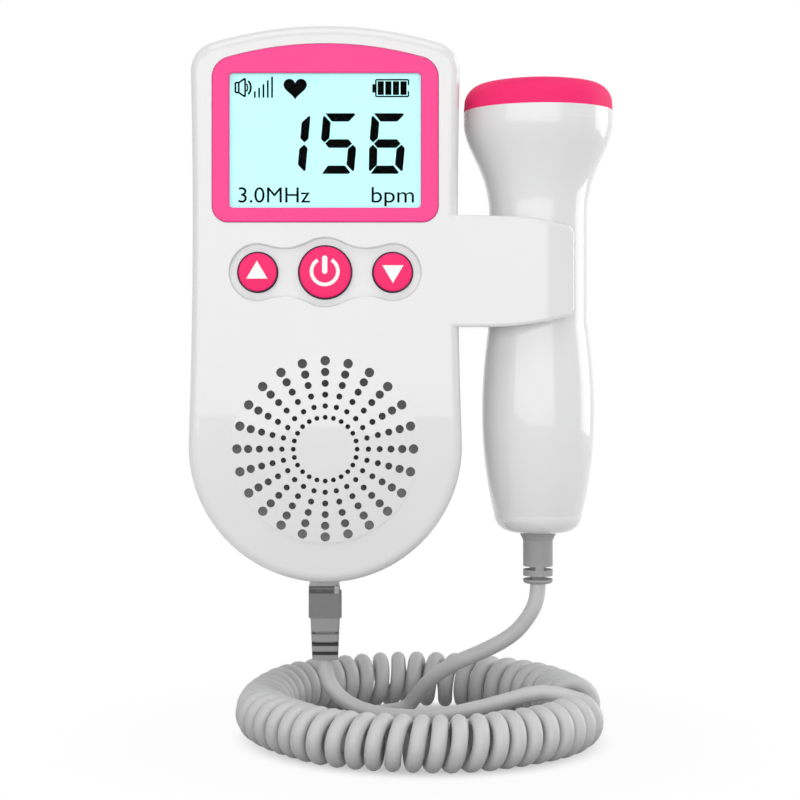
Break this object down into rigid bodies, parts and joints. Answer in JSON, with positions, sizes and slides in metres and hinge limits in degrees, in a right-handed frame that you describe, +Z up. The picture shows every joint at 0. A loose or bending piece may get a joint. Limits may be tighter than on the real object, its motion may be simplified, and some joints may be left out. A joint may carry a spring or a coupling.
{
  "type": "fetal doppler monitor",
  "caption": "Hand-held fetal heartbeat doppler: display unit with keys and speaker grille, side clip with a round-headed probe, curly lead",
  "frame": {"origin": "on the flat back face of the hand unit, 30 mm above the unit's middle and midway across it, where the unit is held", "axes": "+Z up along the unit from the plug to the display, +Y out of the back face, +X from the unit towards the probe in its clip"},
  "size_m": [0.1025, 0.0904, 0.1713],
  "materials": {
    "white_plastic": "glossy white moulded ABS",
    "pink_plastic": "glossy pink moulded ABS",
    "pink_key": "satin pink silicone-coated keys",
    "clear_window": "clear polished acrylic",
    "display_glass": "pale lit display glass",
    "backlight_plastic": "white diffuser frame",
    "board_green": "solder-masked glass epoxy",
    "chip_black": "moulded black epoxy",
    "switch_black": "black nylon switch housings",
    "screw_steel": "zinc-plated steel",
    "contact_steel": "nickel-plated spring steel",
    "contact_gold": "gold-flashed phosphor bronze",
    "speaker_cloth": "dark grey acoustic cloth",
    "speaker_steel": "black-painted pressed steel",
    "speaker_paper": "pressed paper",
    "magnet_iron": "ferrite magnet in an iron cup",
    "cell_jacket": "plain shrink-wrapped steel can",
    "socket_black": "black moulded nylon",
    "plug_clear": "pale clear polycarbonate",
    "hood_grey": "dark grey moulded vinyl",
    "boot_grey": "grey moulded vinyl",
    "cord_grey": "satin grey polyurethane jacket",
    "lens_white": "satin epoxy contact disc",
    "crystal_ceramic": "silvered piezo ceramic"
  },
  "bodies": {
    "hand_unit": {"front_shell": "white_plastic", "rear_shell": "white_plastic", "case_screws": "screw_steel", "display_bezel": "pink_plastic", "display_window": "clear_window", "lcd_panel": "display_glass", "backlight_frame": "backlight_plastic", "tact_switches": "switch_black", "circuit_board": "board_green", "board_screws": "screw_steel", "board_chips": "chip_black", "speaker_mesh": "speaker_cloth", "speaker_frame": "speaker_steel", "speaker_cone": "speaker_paper", "speaker_magnet": "magnet_iron", "aa_batteries": "cell_jacket", "battery_contacts": "contact_steel", "headphone_jack": "socket_black", "probe_jack": "socket_black", "jack_contacts": "contact_gold", "plug_body": "plug_clear", "plug_contacts": "contact_gold", "plug_hood": "hood_grey", "plug_boot": "boot_grey", "unit_lead": "cord_grey", "cord_coil": "cord_grey", "probe_lead": "cord_grey"},
    "power_key": {"power_button": "pink_key"},
    "volume_up_key": {"volume_up_button": "pink_key"},
    "volume_down_key": {"volume_down_button": "pink_key"},
    "cover": {"battery_cover": "white_plastic"},
    "probe": {"probe_front_shell": "white_plastic", "probe_rear_shell": "white_plastic", "probe_cap": "pink_plastic", "acoustic_face": "lens_white", "transducer_crystals": "crystal_ceramic", "crystal_cup": "socket_black", "probe_board": "board_green", "strain_relief": "boot_grey"}
  },
  "joints": [
    {"name": "power_press", "type": "slide", "parent": "hand_unit", "child": "power_key", "axis": [0, 1, 0], "range_m": [0, 0.0008], "stiffness_N_per_m": 2500, "springref_m": -0.0002},
    {"name": "volume_up_press", "type": "slide", "parent": "hand_unit", "child": "volume_up_key", "axis": [0, 1, 0], "range_m": [0, 0.0008], "stiffness_N_per_m": 2500, "springref_m": -0.0002},
    {"name": "volume_down_press", "type": "slide", "parent": "hand_unit", "child": "volume_down_key", "axis": [0, 1, 0], "range_m": [0, 0.0008], "stiffness_N_per_m": 2500, "springref_m": -0.0002},
    {"name": "cover_slide", "type": "slide", "parent": "hand_unit", "child": "cover", "axis": [0, 0, -1], "range_m": [0, 0.008]},
    {"name": "probe_release", "type": "slide", "parent": "hand_unit", "child": "probe", "axis": [1, 0, 0], "range_m": [0, 0.02]}
  ]
}
